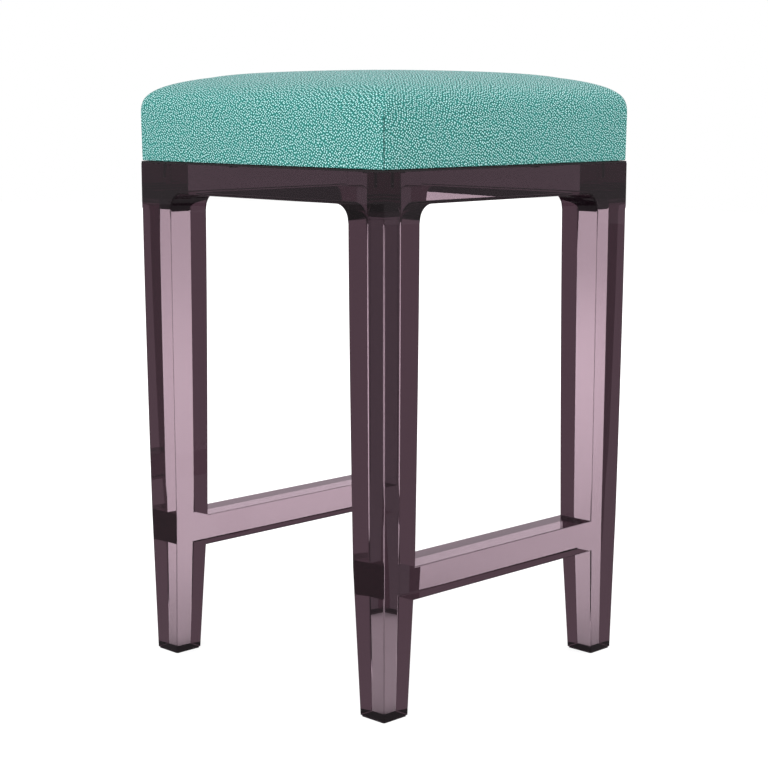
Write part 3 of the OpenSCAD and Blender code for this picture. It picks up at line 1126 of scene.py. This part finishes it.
# Painted shade in the floor's colour, from ambient occlusion: reach of the soft shade under the stool and
# round its feet, the open sky at its darkest, and the brightness left there
SHADE_REACH = 0.7
SHADE_SKY = 0.4
SHADE_LEAST = 0.46
# Painted shade in the floor's colour: share of the far floor's brightness left close to the stool, and the
# distances over which it rises to all
NEAR_FLOOR_PAINTED_SHADE = 0.84
NEAR_END = 0.4
FAR_START = 2.5
# Glow that burns the floor out to white, and its share in what the camera sees of the floor
FLOOR_GLOW = 1.7
FLOOR_BURNT = 0.5


def reflected_once(tree, path):
    """1 for a ray that was reflected on its way."""
    return tree.math("GREATER_THAN", path["Glossy Depth"], 0.5)


def through_twice(tree, path):
    """1 for a ray that went straight through two pieces of the frame: in and out, in and out."""
    return tree.math("GREATER_THAN", path["Transmission Depth"], 3.5)


def mirrored_room(tree, path, reflected):
    """Colour of the room for a ray that was reflected: outside on the acrylic, or inside it."""
    inside = tree.math("GREATER_THAN", path["Transmission Depth"], 0.5)
    return tree.mix(inside, reflected, ROOM_INSIDE)


def floor_material():
    """Pale floor with painted shade in its colour under the stool and round its feet. The camera sees it
    burnt out to white, and a mirrored ray sees it as dim as the room.
    """
    material, tree, shader = new_material("pale_floor")
    path = tree.nodes.new("ShaderNodeLightPath").outputs
    grain = tree.noise(tree.place(), 6, 2, 0.5)
    pale = tree.mix(grain, (0.95, 0.95, 0.95, 1), (0.97, 0.97, 0.97, 1))
    # Painted shade: the floor's colour darkens where ambient occlusion finds the stool close, and nearer
    # the stool
    open_sky = tree.add("ShaderNodeAmbientOcclusion", {"Distance": SHADE_REACH}, output="AO")
    shade = tree.ramp(open_sky, SHADE_SKY, 1, SHADE_LEAST, 1, smooth=False)
    away = tree.add("ShaderNodeVectorMath", {0: tree.place()}, output="Value", operation="LENGTH")
    shade = tree.math("MULTIPLY", shade, tree.ramp(away, NEAR_END, FAR_START, NEAR_FLOOR_PAINTED_SHADE, 1))
    tree.set(shader, {
        "Base Color": tree.mix(shade, BLACK, pale),
        "Roughness": 0.9,
        "Specular IOR Level": 0.1,
    })
    lit = shader.outputs[0]
    glow = tree.add("ShaderNodeEmission", {"Color": WHITE, "Strength": FLOOR_GLOW})
    burnt = tree.mix_shaders(FLOOR_BURNT, lit, glow)
    seen = tree.mix_shaders(path["Is Camera Ray"], lit, burnt)
    twice = tree.add("ShaderNodeEmission", {"Color": ROOM_THROUGH_TWICE})
    seen = tree.mix_shaders(through_twice(tree, path), seen, twice)
    dim = tree.add("ShaderNodeEmission", {"Color": mirrored_room(tree, path, FLOOR_REFLECTED)})
    seen = tree.mix_shaders(reflected_once(tree, path), seen, dim)
    under = tree.add("ShaderNodeNewGeometry", output="Backfacing")
    clear = tree.add("ShaderNodeBsdfTransparent")
    seen = tree.mix_shaders(under, seen, clear)
    tree.set(tree.only("OUTPUT_MATERIAL"), {"Surface": seen})
    return material


def make_floor():
    data = bpy.data.meshes.new("floor")
    data.from_pydata([(x, y, 0) for x, y in FLOOR_CORNERS], [], [range(len(FLOOR_CORNERS))])
    floor = bpy.data.objects.new("floor", data)
    floor.rotation_euler.z = math.radians(CAMERA_TURN_DEG)
    scene.collection.objects.link(floor)
    data.materials.append(floor_material())


def make_world():
    """White behind the object, even light on it, and a dim room in the acrylic's reflections and depths."""
    world = bpy.data.worlds.new("studio")
    world.use_nodes = True
    scene.world = world
    world.cycles.sampling_method = "NONE"
    tree = Tree(world.node_tree)
    path = tree.nodes.new("ShaderNodeLightPath").outputs
    way = tree.add("ShaderNodeTexCoord", output="Generated")
    climb = tree.add("ShaderNodeSeparateXYZ", {"Vector": way}, output="Z")
    upward = tree.ramp(climb, CEILING_FROM, CEILING_TO)
    reflected = tree.mix(upward, ROOM_REFLECTED, CEILING_REFLECTED)
    level = tree.mix(through_twice(tree, path), ROOM_THROUGH, ROOM_THROUGH_TWICE)
    level = tree.mix(reflected_once(tree, path), level, mirrored_room(tree, path, reflected))
    level = tree.mix(path["Is Diffuse Ray"], level, WHITE)
    level = tree.mix(path["Is Camera Ray"], level, WHITE)
    tree.set(tree.only("BACKGROUND"), {"Color": level, "Strength": 1})


# Place of each light in metres, its width, and its power in watts
LIGHTS = {
    "key": ((-3.2, -1.6, 3.2), 2.4, 96),
    "fill": ((1.6, -3.2, 2.6), 2.4, 8),
    "back": ((3.4, 0.6, 2.4), 2.0, 36),
}


def make_light(name, place, size, power):
    """A round soft light that faces the stool and shows neither itself nor its image."""
    data = bpy.data.lights.new(name, "AREA")
    data.shape = "DISK"
    data.size = size
    data.energy = power
    light = bpy.data.objects.new(name, data)
    light.location = place
    light.rotation_euler = (-Vector(place)).to_track_quat("-Z", "Y").to_euler()
    light.visible_camera = False
    light.visible_glossy = False
    light.visible_transmission = False
    scene.collection.objects.link(light)


# Light bounces: many inside the acrylic, few between dull surfaces
MOST_BOUNCES = 32
GLOSSY_BOUNCES = 16
DIFFUSE_BOUNCES = 3


def set_look():
    scene.view_settings.view_transform = "Standard"
    cycles = scene.cycles
    cycles.max_bounces = MOST_BOUNCES
    cycles.transmission_bounces = MOST_BOUNCES
    cycles.glossy_bounces = GLOSSY_BOUNCES
    cycles.diffuse_bounces = DIFFUSE_BOUNCES
    cycles.caustics_reflective = False
    cycles.caustics_refractive = False
    cycles.use_denoising = True


# Making

def dress(material, *names):
    """Gives CAD nodes a material."""
    for name in names:
        data = nodes[name].data
        data.materials.clear()
        data.materials.append(material)


make_camera()
make_clear_frame()
make_cover()
make_batting()
make_foam()
make_dust_cover()
dress(rubber_material(), *[n for n in nodes if n.startswith("foot_pad")])
dress(plate_material(), "seat_plate")
dress(screw_material(), "frame_screws", "seat_screws", "seat_washers")
dress(plywood_material(), "seat_board")
dress(zinc_material(), "tee_nuts", "hem_staples")
make_floor()
make_world()
for light, (place, size, power) in LIGHTS.items():
    make_light(light, place, size, power)
set_look()
